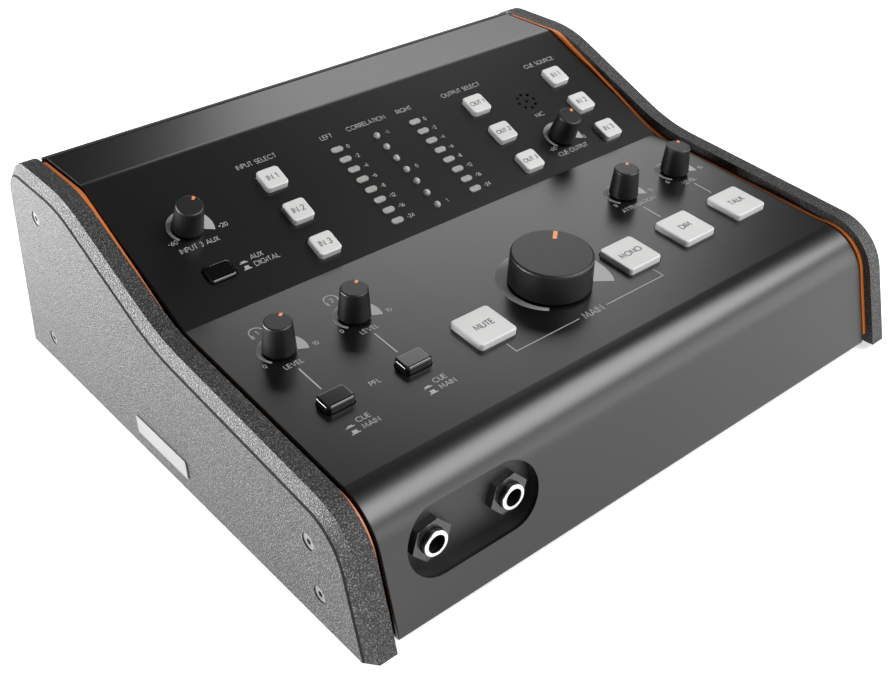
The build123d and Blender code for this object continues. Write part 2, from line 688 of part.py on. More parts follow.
SPACERS = (
    (UPPER, ((-108.0, 18.0), (-108.0, 69.0), (108.0, 18.0), (108.0, 69.0), (-33.0, 69.0), (33.0, 18.0))),
    (LOWER, ((-108.0, 13.0), (-82.0, 69.0), (109.0, 13.0), (84.0, 69.0), (-33.0, 13.0), (33.0, 13.0))),
)
with BuildPart() as board_standoffs:
    for base, points in SPACERS:
        with BuildSketch(base.offset(-BOARD_DEPTH)):
            with Locations(*on(points)):
                RegularPolygon(2.5, 6, major_radius=False)
        extrude(amount=BOARD_DEPTH - SHEET)
finish_piece(board_standoffs, "board_standoffs")

RIBBON_T = 0.9
_board_under = BOARD_DEPTH + BOARD_T + 0.6


def under_board(upper_end, lower_end, s):
    """A point on the underside of the board behind one panel, s down its slope."""
    (y0, z0), (y1, z1) = moved_line(upper_end, lower_end, -_board_under)
    length = hypot(y1 - y0, z1 - z0)
    return (y0 + s * (y1 - y0) / length, z0 + s * (z1 - z0) / length)


def ribbon_path(start, end, drop):
    """A slack ribbon that leaves one board, hangs down and rises to another point."""
    low = min(start[1], end[1]) - drop
    return (start, (start[0], low), (end[0], low), end)


RIBBONS = (
    (ribbon_path(under_board(BROW, CREASE, 66.0), under_board(CREASE, FOLD, 16.0), 12.0), -40.0),
    (ribbon_path(under_board(BROW, CREASE, 22.0), under_board(BROW, CREASE, 38.0), 9.0), 40.0),
)
with BuildPart() as ribbon_cables:
    for path, x in RIBBONS:
        with BuildSketch(Plane.YZ.offset(x)) as loop:
            with BuildLine():
                Polyline(*band(path, RIBBON_T), close=True)
            make_face()
            _inner = moved_path(path, -RIBBON_T)
            round_profile(loop, ((path[1], 3.0), (path[2], 3.0), (_inner[1], 2.1), (_inner[2], 2.1)))
        extrude(amount=12.0, both=True)
finish_piece(ribbon_cables, "ribbon_cables")

# ---------------------------------------------------------------- lights and microphone
with BuildPart() as level_leds:
    with BuildSketch(UPPER.offset(-7.0)):
        with Locations(*on(METER_POINTS)):
            RectangleRounded(*METER_LED, METER_LED_CORNER)
    extrude(amount=7.5)
    with BuildSketch(UPPER.offset(-BOARD_DEPTH)):
        with Locations(*on([(x + dx, s) for x, s in METER_POINTS for dx in (-1.27, 1.27)])):
            Rectangle(0.5, 0.5)
    extrude(amount=BOARD_DEPTH - 7.0)
finish_piece(level_leds, "level_leds")

with BuildPart() as correlation_leds:
    with BuildSketch(UPPER.offset(-7.0)):
        with Locations(*on(PHASE_POINTS)):
            Circle(PHASE_LED_R)
    extrude(amount=6.9)
    for x, s in PHASE_POINTS:
        _rim = UPPER.from_local_coords((x, -s, -0.1))
        with BuildSketch(Plane(origin=_rim, x_dir=(1, 0, 0), z_dir=UPPER.y_dir)):
            with BuildLine():
                Line((0, 0), (PHASE_LED_R, 0))
                CenterArc((0, 0), PHASE_LED_R, 0, -90)
                Line((0, -PHASE_LED_R), (0, 0))
            make_face()
        revolve(axis=Axis(UPPER.from_local_coords((x, -s, 0)), UPPER.z_dir))
    with BuildSketch(UPPER.offset(-BOARD_DEPTH)):
        with Locations(*on([(x + dx, s) for x, s in PHASE_POINTS for dx in (-1.0, 1.0)])):
            Rectangle(0.5, 0.5)
    extrude(amount=BOARD_DEPTH - 7.0)
finish_piece(correlation_leds, "correlation_leds")

with BuildPart() as talkback_mic:
    with BuildSketch(UPPER.offset(-SHEET - 6.0)):
        with Locations(*on([MIC_AT])):
            Circle(5.4)
    extrude(amount=6.0)
    with BuildSketch(UPPER.offset(-SHEET)):
        with Locations(*on([MIC_AT])):
            Circle(4.9)
    extrude(amount=-1.0, mode=Mode.SUBTRACT)
    with BuildSketch(UPPER.offset(-BOARD_DEPTH)):
        with Locations(*on([(MIC_AT[0] + dx, MIC_AT[1]) for dx in (-1.27, 1.27)])):
            Circle(0.3)
    extrude(amount=BOARD_DEPTH - SHEET - 6.0)
finish_piece(talkback_mic, "talkback_mic")

# ---------------------------------------------------------------- push buttons
STEM_R = 1.7
LATCH_STEM_R = 2.0
STEM_PLAY = 0.08
LIP_TOP = SHEET + 0.2  # a pressed-out button's lip, below the panel's surface
FLANGE_T = 1.0
CAP_WALL = 1.3


def make_button(base, x, s, cap, lift, lip_top, stem_r, stem_end, corner, crown_r):
    """A hollow cap with a lip behind the panel and a stem that slides in the switch below."""
    skirt = lip_top + FLANGE_T
    with BuildPart() as button:
        with BuildSketch(spot(base, x, s, -skirt)):
            RectangleRounded(cap[0], cap[1], corner)
        extrude(amount=lift + skirt)
        crown = top_face(button, base)
        fillet(crown.edges(), crown_r)
        with BuildSketch(spot(base, x, s, -skirt)):
            RectangleRounded(cap[0] + 2 * FLANGE_LIP, cap[1] + 2 * FLANGE_LIP, corner + FLANGE_LIP)
        extrude(amount=FLANGE_T)
        with BuildSketch(spot(base, x, s, -skirt)):
            RectangleRounded(cap[0] - 2 * CAP_WALL, cap[1] - 2 * CAP_WALL, 0.5)
        extrude(amount=lift + skirt - CAP_WALL, mode=Mode.SUBTRACT)
        with BuildSketch(spot(base, x, s, -stem_end)):
            Circle(stem_r)
        extrude(amount=stem_end + lift - CAP_WALL)
    return button


STEM_END = 12.5
LATCH_STEM_END = 10.2
for _name, (_x, _s) in SMALL_BUTTONS.items():
    _cap = (SMALL_CAP, SMALL_CAP)
    _button = make_button(UPPER, _x, _s, _cap, CAP_LIFT, LIP_TOP, STEM_R, STEM_END, 1.6, 0.6)
    finish_piece(_button, _name)
for _name, _x in BIG_BUTTONS.items():
    _cap = (BIG_CAP, BIG_CAP)
    _button = make_button(LOWER, _x, BIG_ROW, _cap, CAP_LIFT, LIP_TOP, STEM_R, STEM_END, 1.6, 0.6)
    finish_piece(_button, f"{_name}_button")
for _name, (_panel, _x, _s, _lift) in LATCH_BUTTONS.items():
    _sunk = LATCH_LIFT - _lift
    _lip, _end = LIP_TOP + _sunk, LATCH_STEM_END + _sunk
    _button = make_button(_panel, _x, _s, LATCH_CAP, _lift, _lip, LATCH_STEM_R, _end, LATCH_CORNER, 1.0)
    finish_piece(_button, _name)

SWITCH_SETS = (
    (UPPER, list(SMALL_BUTTONS.values())),
    (LOWER, [(x, BIG_ROW) for x in BIG_BUTTONS.values()]),
)
with BuildPart() as key_switches:
    for base, points in SWITCH_SETS:
        with BuildSketch(base.offset(-BOARD_DEPTH)):
            with Locations(*on(points)):
                Rectangle(6.2, 6.2)
                Circle(STEM_R + STEM_PLAY, mode=Mode.SUBTRACT)
        extrude(amount=BOARD_DEPTH - SWITCH_TOP)
finish_piece(key_switches, "key_switches")

with BuildPart() as latch_switches:
    for base, x, s, _ in LATCH_BUTTONS.values():
        with BuildSketch(spot(base, x, s, -BOARD_DEPTH)):
            Rectangle(8.5, 7.0)
            Circle(LATCH_STEM_R + STEM_PLAY, mode=Mode.SUBTRACT)
        extrude(amount=BOARD_DEPTH - LATCH_TOP)
finish_piece(latch_switches, "latch_switches")

# ---------------------------------------------------------------- knobs and potentiometers
SHAFT_TOP = 9.0
SHAFT_END = 13.0


def make_knob(base, x, s, foot_r, crown_r, height, edge_r):
    """A slightly tapered cap, turned about its shaft, with a blind bore for it."""
    with BuildPart() as knob:
        foot = base.from_local_coords((x, -s, 0))
        with BuildSketch(Plane(origin=foot, x_dir=(1, 0, 0), z_dir=-base.y_dir)):
            with BuildLine():
                Polyline(
                    (SHAFT_R, KNOB_FOOT),
                    (foot_r - 0.6, KNOB_FOOT),
                    (foot_r, KNOB_FOOT + 0.6),
                    (crown_r, height),
                    (0, height),
                    (0, SHAFT_TOP),
                    (SHAFT_R, SHAFT_TOP),
                    close=True,
                )
            make_face()
        revolve(axis=Axis(base.from_local_coords((x, -s, 0)), base.z_dir))
        crown = top_face(knob, base)
        fillet(crown.edges(), edge_r)
    return knob


def make_shaft(base, x, s):
    """A round potentiometer shaft, from inside the knob down into its body."""
    with BuildPart() as shaft:
        with BuildSketch(spot(base, x, s, -SHAFT_END)):
            Circle(SHAFT_R)
        extrude(amount=SHAFT_END + SHAFT_TOP)
    return shaft


for _name, (_panel, _x, _s) in SMALL_KNOBS.items():
    finish_piece(make_knob(_panel, _x, _s, 6.0, 5.0, KNOB_H, 0.7), f"{_name}_knob")
    finish_piece(make_shaft(_panel, _x, _s), f"{_name}_shaft")
finish_piece(make_knob(LOWER, *MAIN_KNOB, MAIN_KNOB_R, MAIN_KNOB_R - 0.4, MAIN_KNOB_H, 1.0), "main_knob")
finish_piece(make_shaft(LOWER, *MAIN_KNOB), "main_shaft")

with BuildPart() as pot_bodies:
    for base, x, s in (*SMALL_KNOBS.values(), (LOWER, *MAIN_KNOB)):
        width = 17.0 if (x, s) == MAIN_KNOB else 10.0
        with BuildSketch(spot(base, x, s, -BOARD_DEPTH)):
            Rectangle(width, width + 1.0)
        extrude(amount=BOARD_DEPTH - POT_TOP)
        with BuildSketch(spot(base, x, s, -POT_TOP)):
            Circle(4.4)
        extrude(amount=POT_TOP - SHEET)
        with BuildSketch(spot(base, x, s, -SHEET)):
            Circle(SHAFT_R + RUNNING)
        extrude(amount=-(SHAFT_END + 0.4 - SHEET), mode=Mode.SUBTRACT)
finish_piece(pot_bodies, "pot_bodies")

# ---------------------------------------------------------------- feet and chassis screws
FOOT_R = 8.0
with BuildPart() as feet:
    with BuildSketch(Plane.XY.offset(SHIFT_Z + TRAY_Z)):
        with Locations(*[(x, place((y, 0.0))[0]) for x, y in FEET_AT]):
            Circle(FOOT_R)
    extrude(amount=-SHIFT_Z - TRAY_Z)
    chamfer(feet.edges().filter_by(GeomType.CIRCLE).group_by(Axis.Z)[0], 0.8)
    with BuildSketch(Plane.XY):
        with Locations(*[(x, place((y, 0.0))[0]) for x, y in FEET_AT]):
            Circle(3.3)
    extrude(amount=3.6, mode=Mode.SUBTRACT)
    with BuildSketch(Plane.XY):
        with Locations(*[(x, place((y, 0.0))[0]) for x, y in FEET_AT]):
            Circle(SHEET)
    extrude(amount=SHIFT_Z + TRAY_Z, mode=Mode.SUBTRACT)
finish_piece(feet, "feet")

SCREW_HEAD_R = 2.8
SCREW_HEAD_T = 1.6
SCREW_LENGTH = 6.0


DOWN = Plane(origin=(0, 0, 0), x_dir=(1, 0, 0), z_dir=(0, 0, -1))
SCREW_SETS = (
    (REAR_OUT, [*REAR_SCREWS, *REAR_LOW_SCREWS]),
    (DOWN.offset(-SHIFT_Z - TOE[1]), [(x, -place((7.0, 0.0))[0]) for x in TOE_SCREWS_X]),
    (DOWN.offset(-3.6), [(x, -place((y, 0.0))[0]) for x, y in FEET_AT]),
)
with BuildPart() as chassis_screws:
    for seat, points in SCREW_SETS:
        with BuildSketch(seat):
            with Locations(*points):
                Circle(SCREW_HEAD_R)
        extrude(amount=SCREW_HEAD_T)
        with BuildSketch(seat):
            with Locations(*points):
                Circle(SHEET)
        extrude(amount=-SCREW_LENGTH)
        with BuildSketch(seat.offset(SCREW_HEAD_T)):
            with Locations(*points):
                Rectangle(3.6, 0.8)
                Rectangle(0.8, 3.6)
        extrude(amount=-0.9, mode=Mode.SUBTRACT)
finish_piece(chassis_screws, "chassis_screws")
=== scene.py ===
"""Looks for a desktop studio monitor controller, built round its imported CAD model.

The CAD nodes keep their shapes and get procedural materials. Blender adds what is printed or inlaid:
legends, dial crescents, brackets, symbols, knob pointers and the coloured inserts of the rear sockets.
Panel places are in millimetres: x across, then down the slope from the panel's upper bend.
"""

import json
from math import cos, radians, sin

import bpy
from mathutils import Matrix, Vector


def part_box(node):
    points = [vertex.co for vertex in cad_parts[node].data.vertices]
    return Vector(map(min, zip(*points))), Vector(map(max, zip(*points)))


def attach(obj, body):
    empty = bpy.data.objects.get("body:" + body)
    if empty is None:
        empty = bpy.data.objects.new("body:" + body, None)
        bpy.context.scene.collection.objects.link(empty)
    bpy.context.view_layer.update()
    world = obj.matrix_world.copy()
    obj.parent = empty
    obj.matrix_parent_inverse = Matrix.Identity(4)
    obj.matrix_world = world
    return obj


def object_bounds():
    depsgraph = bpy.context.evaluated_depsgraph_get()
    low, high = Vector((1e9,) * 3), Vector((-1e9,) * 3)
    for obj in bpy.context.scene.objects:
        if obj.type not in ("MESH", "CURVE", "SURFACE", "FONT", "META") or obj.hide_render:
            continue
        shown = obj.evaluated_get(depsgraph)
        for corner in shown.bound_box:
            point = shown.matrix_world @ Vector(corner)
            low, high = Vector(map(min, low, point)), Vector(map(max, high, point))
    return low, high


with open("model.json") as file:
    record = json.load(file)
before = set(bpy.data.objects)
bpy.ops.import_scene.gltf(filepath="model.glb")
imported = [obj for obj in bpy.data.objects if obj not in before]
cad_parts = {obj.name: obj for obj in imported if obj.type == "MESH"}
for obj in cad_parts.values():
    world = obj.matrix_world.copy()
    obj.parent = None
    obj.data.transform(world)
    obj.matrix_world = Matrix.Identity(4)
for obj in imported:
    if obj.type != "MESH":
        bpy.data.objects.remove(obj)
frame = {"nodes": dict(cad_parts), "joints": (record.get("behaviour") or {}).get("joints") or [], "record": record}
cad_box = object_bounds()

MM = 0.001
NODES = frame["nodes"]
RECORD = frame["record"]
JOINTS = {joint["name"]: joint for joint in frame["joints"]}
BIG_BUTTONS = ["mute_button", "mono_button", "dim_button", "talk_button"]
SMALL_KNOBS = ["aux", "cue_output", "phones_1", "phones_2", "attenuation", "talk_level"]
CHEEK_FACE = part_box("cheek_right")[1].x
SHADE_LINE_IN = 0.31 * MM  # middle of the painted shade line along the cheeks' outer arris, in from their outer faces
# half the width of that painted shade line
SHADE_LINE_HALF = 0.29 * MM
POINTER_TURN = radians(48.5)  # clockwise from straight up the panel


def axes(across, up, out):
    """A turn that brings x, y and z onto three square directions."""
    return Matrix((across, up, out)).transposed().to_4x4()


# ---------------------------------------------------------------- panels
class Panel:
    """A flat of the cover: its places are millimetres across and down the slope."""

    def __init__(self, joint, slope):
        pivot = Vector(JOINTS[joint]["pos_m"])
        self.across = Vector((1, 0, 0))
        self.out = Vector(JOINTS[joint]["axis"]).normalized()
        self.up = self.out.cross(self.across)
        self.origin = pivot - self.across * pivot.x + self.up * slope * MM

    def matrix(self, x, slope, lift=0.0):
        """Where local millimetres x across, y up the slope and z outward land in the row frame."""
        place = self.origin + (self.across * x - self.up * slope + self.out * lift) * MM
        return Matrix.Translation(place) @ axes(self.across, self.up, self.out) @ Matrix.Scale(MM, 4)

    def reach(self, node):
        """A node's middle across and down the slope, and its top above the panel, in millimetres."""
        places = [vertex.co - self.origin for vertex in NODES[node].data.vertices]
        x = [p.dot(self.across) / MM for p in places]
        slope = [-p.dot(self.up) / MM for p in places]
        lift = [p.dot(self.out) / MM for p in places]
        return (min(x) + max(x)) / 2, (min(slope) + max(slope)) / 2, max(lift)


UPPER = Panel("aux_turn", 35.0)
LOWER = Panel("phones_1_turn", 28.0)


def panel_of(node):
    return UPPER if node.startswith(("aux", "cue", "input", "output")) else LOWER


# ---------------------------------------------------------------- materials
def nodes_for(name):
    """A new node material, its shader and a helper that adds and wires nodes."""
    material = bpy.data.materials.new(name)
    material.use_nodes = True
    tree = material.node_tree
    shader = tree.nodes["Principled BSDF"]
    place = tree.nodes.new("ShaderNodeTexCoord").outputs["Object"]

    def add(kind, **inputs):
        node = tree.nodes.new(kind)
        for key, value in inputs.items():
            socket = node.inputs[key.replace("_", " ")]
            if hasattr(value, "is_output"):
                tree.links.new(value, socket)
            else:
                socket.default_value = value
        return node

    return material, tree, shader, place, add


def grain(add, place, grains_per_mm, detail=2.0, rough=0.5):
    """Noise with about so many grains in each millimetre."""
    return add("ShaderNodeTexNoise", Vector=place, Scale=grains_per_mm * 1000, Detail=detail, Roughness=rough)


def tint(tree, add, source, low, high, edges=(0.3, 0.7)):
    """Turns a 0 to 1 value into a colour between two colours."""
    ramp = tree.nodes.new("ShaderNodeValToRGB")
    ramp.color_ramp.elements[0].position = edges[0]
    ramp.color_ramp.elements[1].position = edges[1]
    ramp.color_ramp.elements[0].color = (*low, 1)
    ramp.color_ramp.elements[1].color = (*high, 1)
    tree.links.new(source, ramp.inputs[0])
    return ramp.outputs[0]


def blend(tree, add, share, under, over):
    """Mixes a colour socket with a fixed colour, by a 0 to 1 share of the fixed one."""
    mixed = add("ShaderNodeMix")
    mixed.data_type = "RGBA"
    tree.links.new(share, mixed.inputs[0])
    tree.links.new(under, mixed.inputs[6])
    mixed.inputs[7].default_value = (*over, 1)
    return mixed.outputs[2]


def maths(tree, add, operation, *values):
    """One arithmetic step on sockets or plain numbers."""
    node = add("ShaderNodeMath")
    node.operation = operation
    for socket, value in zip(node.inputs, values):
        if hasattr(value, "is_output"):
            tree.links.new(value, socket)
        else:
            socket.default_value = value
    return node.outputs[0]


def spread(add, source, low, high):
    """Maps a 0 to 1 value onto a range."""
    node = add("ShaderNodeMapRange", Value=source)
    node.inputs["To Min"].default_value = low
    node.inputs["To Max"].default_value = high
    return node.outputs[0]


DRIFT = 0.02  # slow colour patches in each millimetre


def moulded(name, low, high, rough, bump=0.05, size=0.4, metallic=0.0, specular=0.5, coat=0.0):
    """A moulded, painted or plated surface: fine grain, slow colour drift and uneven gloss."""
    material, tree, shader, place, add = nodes_for(name)
    fine = grain(add, place, 1 / size, 3.0)
    slow = grain(add, place, DRIFT, 2.0)
    tree.links.new(tint(tree, add, slow.outputs[0], low, high), shader.inputs["Base Color"])
    tree.links.new(spread(add, fine.outputs[0], rough - 0.05, rough + 0.05), shader.inputs["Roughness"])
    height = add("ShaderNodeBump", Height=fine.outputs[0], Strength=bump, Distance=size * 0.3 * MM)
    tree.links.new(height.outputs[0], shader.inputs["Normal"])
    shader.inputs["Metallic"].default_value = metallic
    shader.inputs["Specular IOR Level"].default_value = specular
    shader.inputs["Coat Weight"].default_value = coat
    return material


SPECK_GAIN = 5.0  # how much paler a speck of powder coat is than the coat


def powder_coat(name, low, high, rough, specular):
    """Fine powder coat on sheet steel: tiny orange peel with scarce pale specks."""
    material, tree, shader, place, add = nodes_for(name)
    fine = grain(add, place, 3.5, 4.0, 0.6)
    peel = grain(add, place, 0.5, 2.0)
    slow = grain(add, place, 0.012, 2.0)
    base = tint(tree, add, slow.outputs[0], low, high)
    speck = tint(tree, add, fine.outputs[0], (0, 0, 0), (1, 1, 1), (0.67, 0.76))
    pale = [SPECK_GAIN * c for c in high]
    tree.links.new(blend(tree, add, speck, base, pale), shader.inputs["Base Color"])
    tree.links.new(spread(add, fine.outputs[0], rough - 0.04, rough + 0.06), shader.inputs["Roughness"])
    shallow = add("ShaderNodeBump", Height=peel.outputs[0], Strength=0.12, Distance=0.05 * MM)
    height = add("ShaderNodeBump", Height=fine.outputs[0], Strength=0.10, Distance=0.03 * MM)
    tree.links.new(shallow.outputs[0], height.inputs["Normal"])
    tree.links.new(height.outputs[0], shader.inputs["Normal"])
    shader.inputs["Specular IOR Level"].default_value = specular
    return material


def stippled(name):
    """Stippled texture paint: pale drops over near-black, with a dull, dark line of painted shade just in from the
    outer arris.
    """
    material, tree, shader, place, add = nodes_for(name)
    drops = grain(add, place, 2.1, 2.0, 0.6)
    fine = grain(add, place, 5.0, 2.0, 0.6)
    ground = tint(tree, add, drops.outputs[0], (0.002, 0.002, 0.002), (0.12, 0.12, 0.121), (0.52, 0.64))
    apart = add("ShaderNodeSeparateXYZ", Vector=place)
    side = maths(tree, add, "ABSOLUTE", apart.outputs[0])
    # painted shade: a near-black band just in from the outer face along the arris, which is also made fully rough
    painted_shade_line = maths(tree, add, "COMPARE", side, CHEEK_FACE - SHADE_LINE_IN, SHADE_LINE_HALF)
    colour = blend(tree, add, painted_shade_line, ground, (0.004, 0.004, 0.004))
    tree.links.new(colour, shader.inputs["Base Color"])
    rough = maths(tree, add, "MAXIMUM", spread(add, drops.outputs[0], 0.62, 0.34), painted_shade_line)
    tree.links.new(rough, shader.inputs["Roughness"])
    coarse = add("ShaderNodeBump", Height=drops.outputs[0], Strength=1.0, Distance=0.34 * MM)
    height = add("ShaderNodeBump", Height=fine.outputs[0], Strength=0.3, Distance=0.06 * MM)
    tree.links.new(coarse.outputs[0], height.inputs["Normal"])
    tree.links.new(height.outputs[0], shader.inputs["Normal"])
    shader.inputs["Specular IOR Level"].default_value = 0.4
    return material


def brushed(name, colour, rough):
    """Turned or brushed metal: noise stretched along one direction."""
    material, tree, shader, place, add = nodes_for(name)
    mapping = add("ShaderNodeMapping", Vector=place)
    mapping.inputs["Scale"].default_value = (1, 1, 40)
    lines = grain(add, mapping.outputs[0], 0.6, 4.0)
    low = [0.85 * c for c in colour]
    tree.links.new(tint(tree, add, lines.outputs[0], low, colour), shader.inputs["Base Color"])
    tree.links.new(spread(add, lines.outputs[0], rough - 0.08, rough + 0.08), shader.inputs["Roughness"])
    height = add("ShaderNodeBump", Height=lines.outputs[0], Strength=0.08, Distance=0.02 * MM)
    tree.links.new(height.outputs[0], shader.inputs["Normal"])
    shader.inputs["Metallic"].default_value = 1.0
    return material


def circuit_board(name):
    """Solder mask with copper tracks faintly showing through."""
    material, tree, shader, place, add = nodes_for(name)
    tracks = add("ShaderNodeTexBrick", Vector=place, Scale=160.0)
    tracks.inputs["Color1"].default_value = (0.008, 0.075, 0.032, 1)
    tracks.inputs["Color2"].default_value = (0.010, 0.095, 0.042, 1)
    tracks.inputs["Mortar"].default_value = (0.03, 0.19, 0.08, 1)
    tree.links.new(tracks.outputs["Color"], shader.inputs["Base Color"])
    fine = grain(add, place, 1.5, 2.0)
    tree.links.new(spread(add, fine.outputs[0], 0.28, 0.42), shader.inputs["Roughness"])
    height = add("ShaderNodeBump", Height=tracks.outputs["Fac"], Strength=0.2, Distance=0.03 * MM)
    tree.links.new(height.outputs[0], shader.inputs["Normal"])
    return material


def lens(name):
    """Frosted lamp lens: pale, faintly cloudy and a little translucent."""
    material, tree, shader, place, add = nodes_for(name)
    cloud = grain(add, place, 1.2, 2.0)
    pale = tint(tree, add, cloud.outputs[0], (0.25, 0.25, 0.246), (0.32, 0.32, 0.312))
    tree.links.new(pale, shader.inputs["Base Color"])
    tree.links.new(spread(add, cloud.outputs[0], 0.24, 0.34), shader.inputs["Roughness"])
    height = add("ShaderNodeBump", Height=cloud.outputs[0], Strength=0.08, Distance=0.05 * MM)
    tree.links.new(height.outputs[0], shader.inputs["Normal"])
    shader.inputs["Subsurface Weight"].default_value = 0.2
    shader.inputs["Subsurface Scale"].default_value = 0.8 * MM
    return material


MATERIALS = {
    "cover_paint": powder_coat("cover_paint", (0.0028, 0.0028, 0.0030), (0.0042, 0.0042, 0.0044), 0.29, 0.60),
    "chassis_paint": powder_coat("chassis_paint", (0.012, 0.012, 0.012), (0.018, 0.018, 0.018), 0.48, 0.5),
    "orange_paint": moulded("orange_paint", (0.44, 0.11, 0.015), (0.52, 0.14, 0.020), 0.42, 0.10, 0.25),
    "cheek_texture": stippled("cheek_texture"),
    "screw_steel": brushed("screw_steel", (0.30, 0.30, 0.31), 0.34),
    "badge_metal": moulded("badge_metal", (0.20, 0.20, 0.20), (0.25, 0.25, 0.25), 0.42, 0.06, 0.2, 0.6),
    "jack_plastic": moulded("jack_plastic", (0.008, 0.008, 0.008), (0.012, 0.012, 0.012), 0.22, 0.04, 0.3),
    "nut_plastic": moulded("nut_plastic", (0.012, 0.012, 0.012), (0.02, 0.02, 0.02), 0.20, 0.05, 0.3,
                           coat=0.3),
    "ring_chrome": brushed("ring_chrome", (0.86, 0.86, 0.86), 0.16),
    "foot_rubber": moulded("foot_rubber", (0.012, 0.012, 0.012), (0.02, 0.02, 0.02), 0.78, 0.2, 0.3),
    "led_lens": lens("led_lens"),
    "board": circuit_board("board"),
    "pot_metal": brushed("pot_metal", (0.62, 0.62, 0.62), 0.36),
    "switch_plastic": moulded("switch_plastic", (0.02, 0.02, 0.02), (0.03, 0.03, 0.03), 0.5),
    "spacer_brass": brushed("spacer_brass", (0.72, 0.54, 0.25), 0.30),
    "inlet_plastic": moulded("inlet_plastic", (0.012, 0.012, 0.012), (0.018, 0.018, 0.018), 0.33, 0.06, 0.25),
    "mic_metal": brushed("mic_metal", (0.66, 0.66, 0.66), 0.34),
    "phono_metal": brushed("phono_metal", (0.80, 0.80, 0.78), 0.20),
    "ribbon": moulded("ribbon", (0.36, 0.36, 0.37), (0.44, 0.44, 0.45), 0.5),
    "button_white": moulded("button_white", (0.48, 0.48, 0.472), (0.53, 0.53, 0.525), 0.46, 0.06, 0.25),
    "latch_black": moulded("latch_black", (0.003, 0.003, 0.003), (0.005, 0.005, 0.005), 0.14, 0.03, 0.3,
                           coat=0.2),
    "knob_black": moulded("knob_black", (0.004, 0.004, 0.004), (0.006, 0.006, 0.006), 0.40, 0.10, 0.22,
                          specular=0.42),
    "shaft_metal": brushed("shaft_metal", (0.68, 0.68, 0.68), 0.30),
}
PRINT = moulded("panel_print", (0.26, 0.26, 0.26), (0.31, 0.31, 0.31), 0.55, 0.05, 0.15)
KEY_PRINT = moulded("key_print", (0.045, 0.045, 0.045), (0.06, 0.06, 0.06), 0.5, 0.05, 0.15)
POINTER = moulded("pointer_orange", (0.62, 0.20, 0.07), (0.70, 0.25, 0.09), 0.40, 0.05, 0.15)
INSERT_COLOURS = {
    "insert_red": moulded("insert_red", (0.45, 0.02, 0.02), (0.52, 0.03, 0.02), 0.35),
    "insert_white": moulded("insert_white", (0.70, 0.70, 0.68), (0.76, 0.76, 0.74), 0.35),
    "insert_orange": moulded("insert_orange", (0.75, 0.20, 0.02), (0.80, 0.25, 0.03), 0.35),
}

for subpart in RECORD["subparts"]:
    node = NODES[subpart["node"]]
    node.data.materials.clear()
    node.data.materials.append(MATERIALS[subpart["material_slot"]])


# ---------------------------------------------------------------- flat shapes
class Shape:
    """Collects closed flat slabs, in millimetres, that become one printed or inlaid piece."""

    def __init__(self):
        self.points = []
        self.faces = []

    def slab(self, outline, low=0.0, high=0.05):
        """A closed slab with any outline that is listed anticlockwise."""
        start, count = len(self.points), len(outline)
        self.points += [(x, y, low) for x, y in outline] + [(x, y, high) for x, y in outline]
        self.faces.append([start + i for i in reversed(range(count))])
        self.faces.append([start + count + i for i in range(count)])
        for i in range(count):
            after = (i + 1) % count
            self.faces.append([start + i, start + after, start + count + after, start + count + i])

    def strip(self, left, right, low=0.0, high=0.05, closed=False):
        """A closed slab between two lines of points, made of quads."""
        start, count = len(self.points), len(left)
        for height in (low, high):
            self.points += [(x, y, height) for x, y in left] + [(x, y, height) for x, y in right]
        under, top = start, start + 2 * count
        for i in range(count if closed else count - 1):
            after = (i + 1) % count
            self.faces.append([top + i, top + count + i, top + count + after, top + after])
            self.faces.append([under + i, under + after, under + count + after, under + count + i])
            self.faces.append([under + i, top + i, top + after, under + after])
            far, far_after = count + i, count + after
            self.faces.append([under + far, under + far_after, top + far_after, top + far])
        if not closed:
            last = count - 1
            self.faces.append([under, under + count, top + count, top])
            self.faces.append([under + last, top + last, top + count + last, under + count + last])

    def stroke(self, points, width, low=0.0, high=0.05):
        """A line of even width with mitred corners; it closes itself when its ends meet."""
        closed = (Vector(points[0]) - Vector(points[-1])).length < 1e-6
        path = [Vector(p) for p in (points[:-1] if closed else points)]
        left, right = [], []
        for i, here in enumerate(path):
            before = path[i - 1] if closed or i else None
            after = path[(i + 1) % len(path)] if closed or i < len(path) - 1 else None
            runs = [(b - a).normalized() for a, b in ((before, here), (here, after)) if a and b]
            along = sum(runs, Vector((0, 0))).normalized()
            side = Vector((-along.y, along.x))
            mitre = min(1 / max(side.dot(Vector((-runs[0].y, runs[0].x))), 0.3), 2.0)
            left.append(tuple(here + side * mitre * width / 2))
            right.append(tuple(here - side * mitre * width / 2))
        self.strip(left, right, low, high, closed)

    def piece(self, name, material, matrix, body, slot):
        """Makes the object, places it and rides it on a body."""
        mesh = bpy.data.meshes.new(name)
        mesh.from_pydata(self.points, [], self.faces)
        mesh.materials.append(material)
        mesh.transform(matrix)
        mesh.validate()
        mesh.update()
        piece = bpy.data.objects.new(name, mesh)
        bpy.context.scene.collection.objects.link(piece)
        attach(piece, body)


def arc(x, y, radius_x, radius_y, start, end, steps=0):
    """Points along an arc, in degrees anticlockwise from the right."""
    steps = steps or max(4, int(abs(end - start) / 15))
    turns = [radians(start + (end - start) * i / steps) for i in range(steps + 1)]
    return [(x + radius_x * cos(t), y + radius_y * sin(t)) for t in turns]


def rectangle(x, foot, half, height):
    """Corners of an upright rectangle, anticlockwise from its lower left."""
    return [(x - half, foot), (x + half, foot), (x + half, foot + height), (x - half, foot + height)]


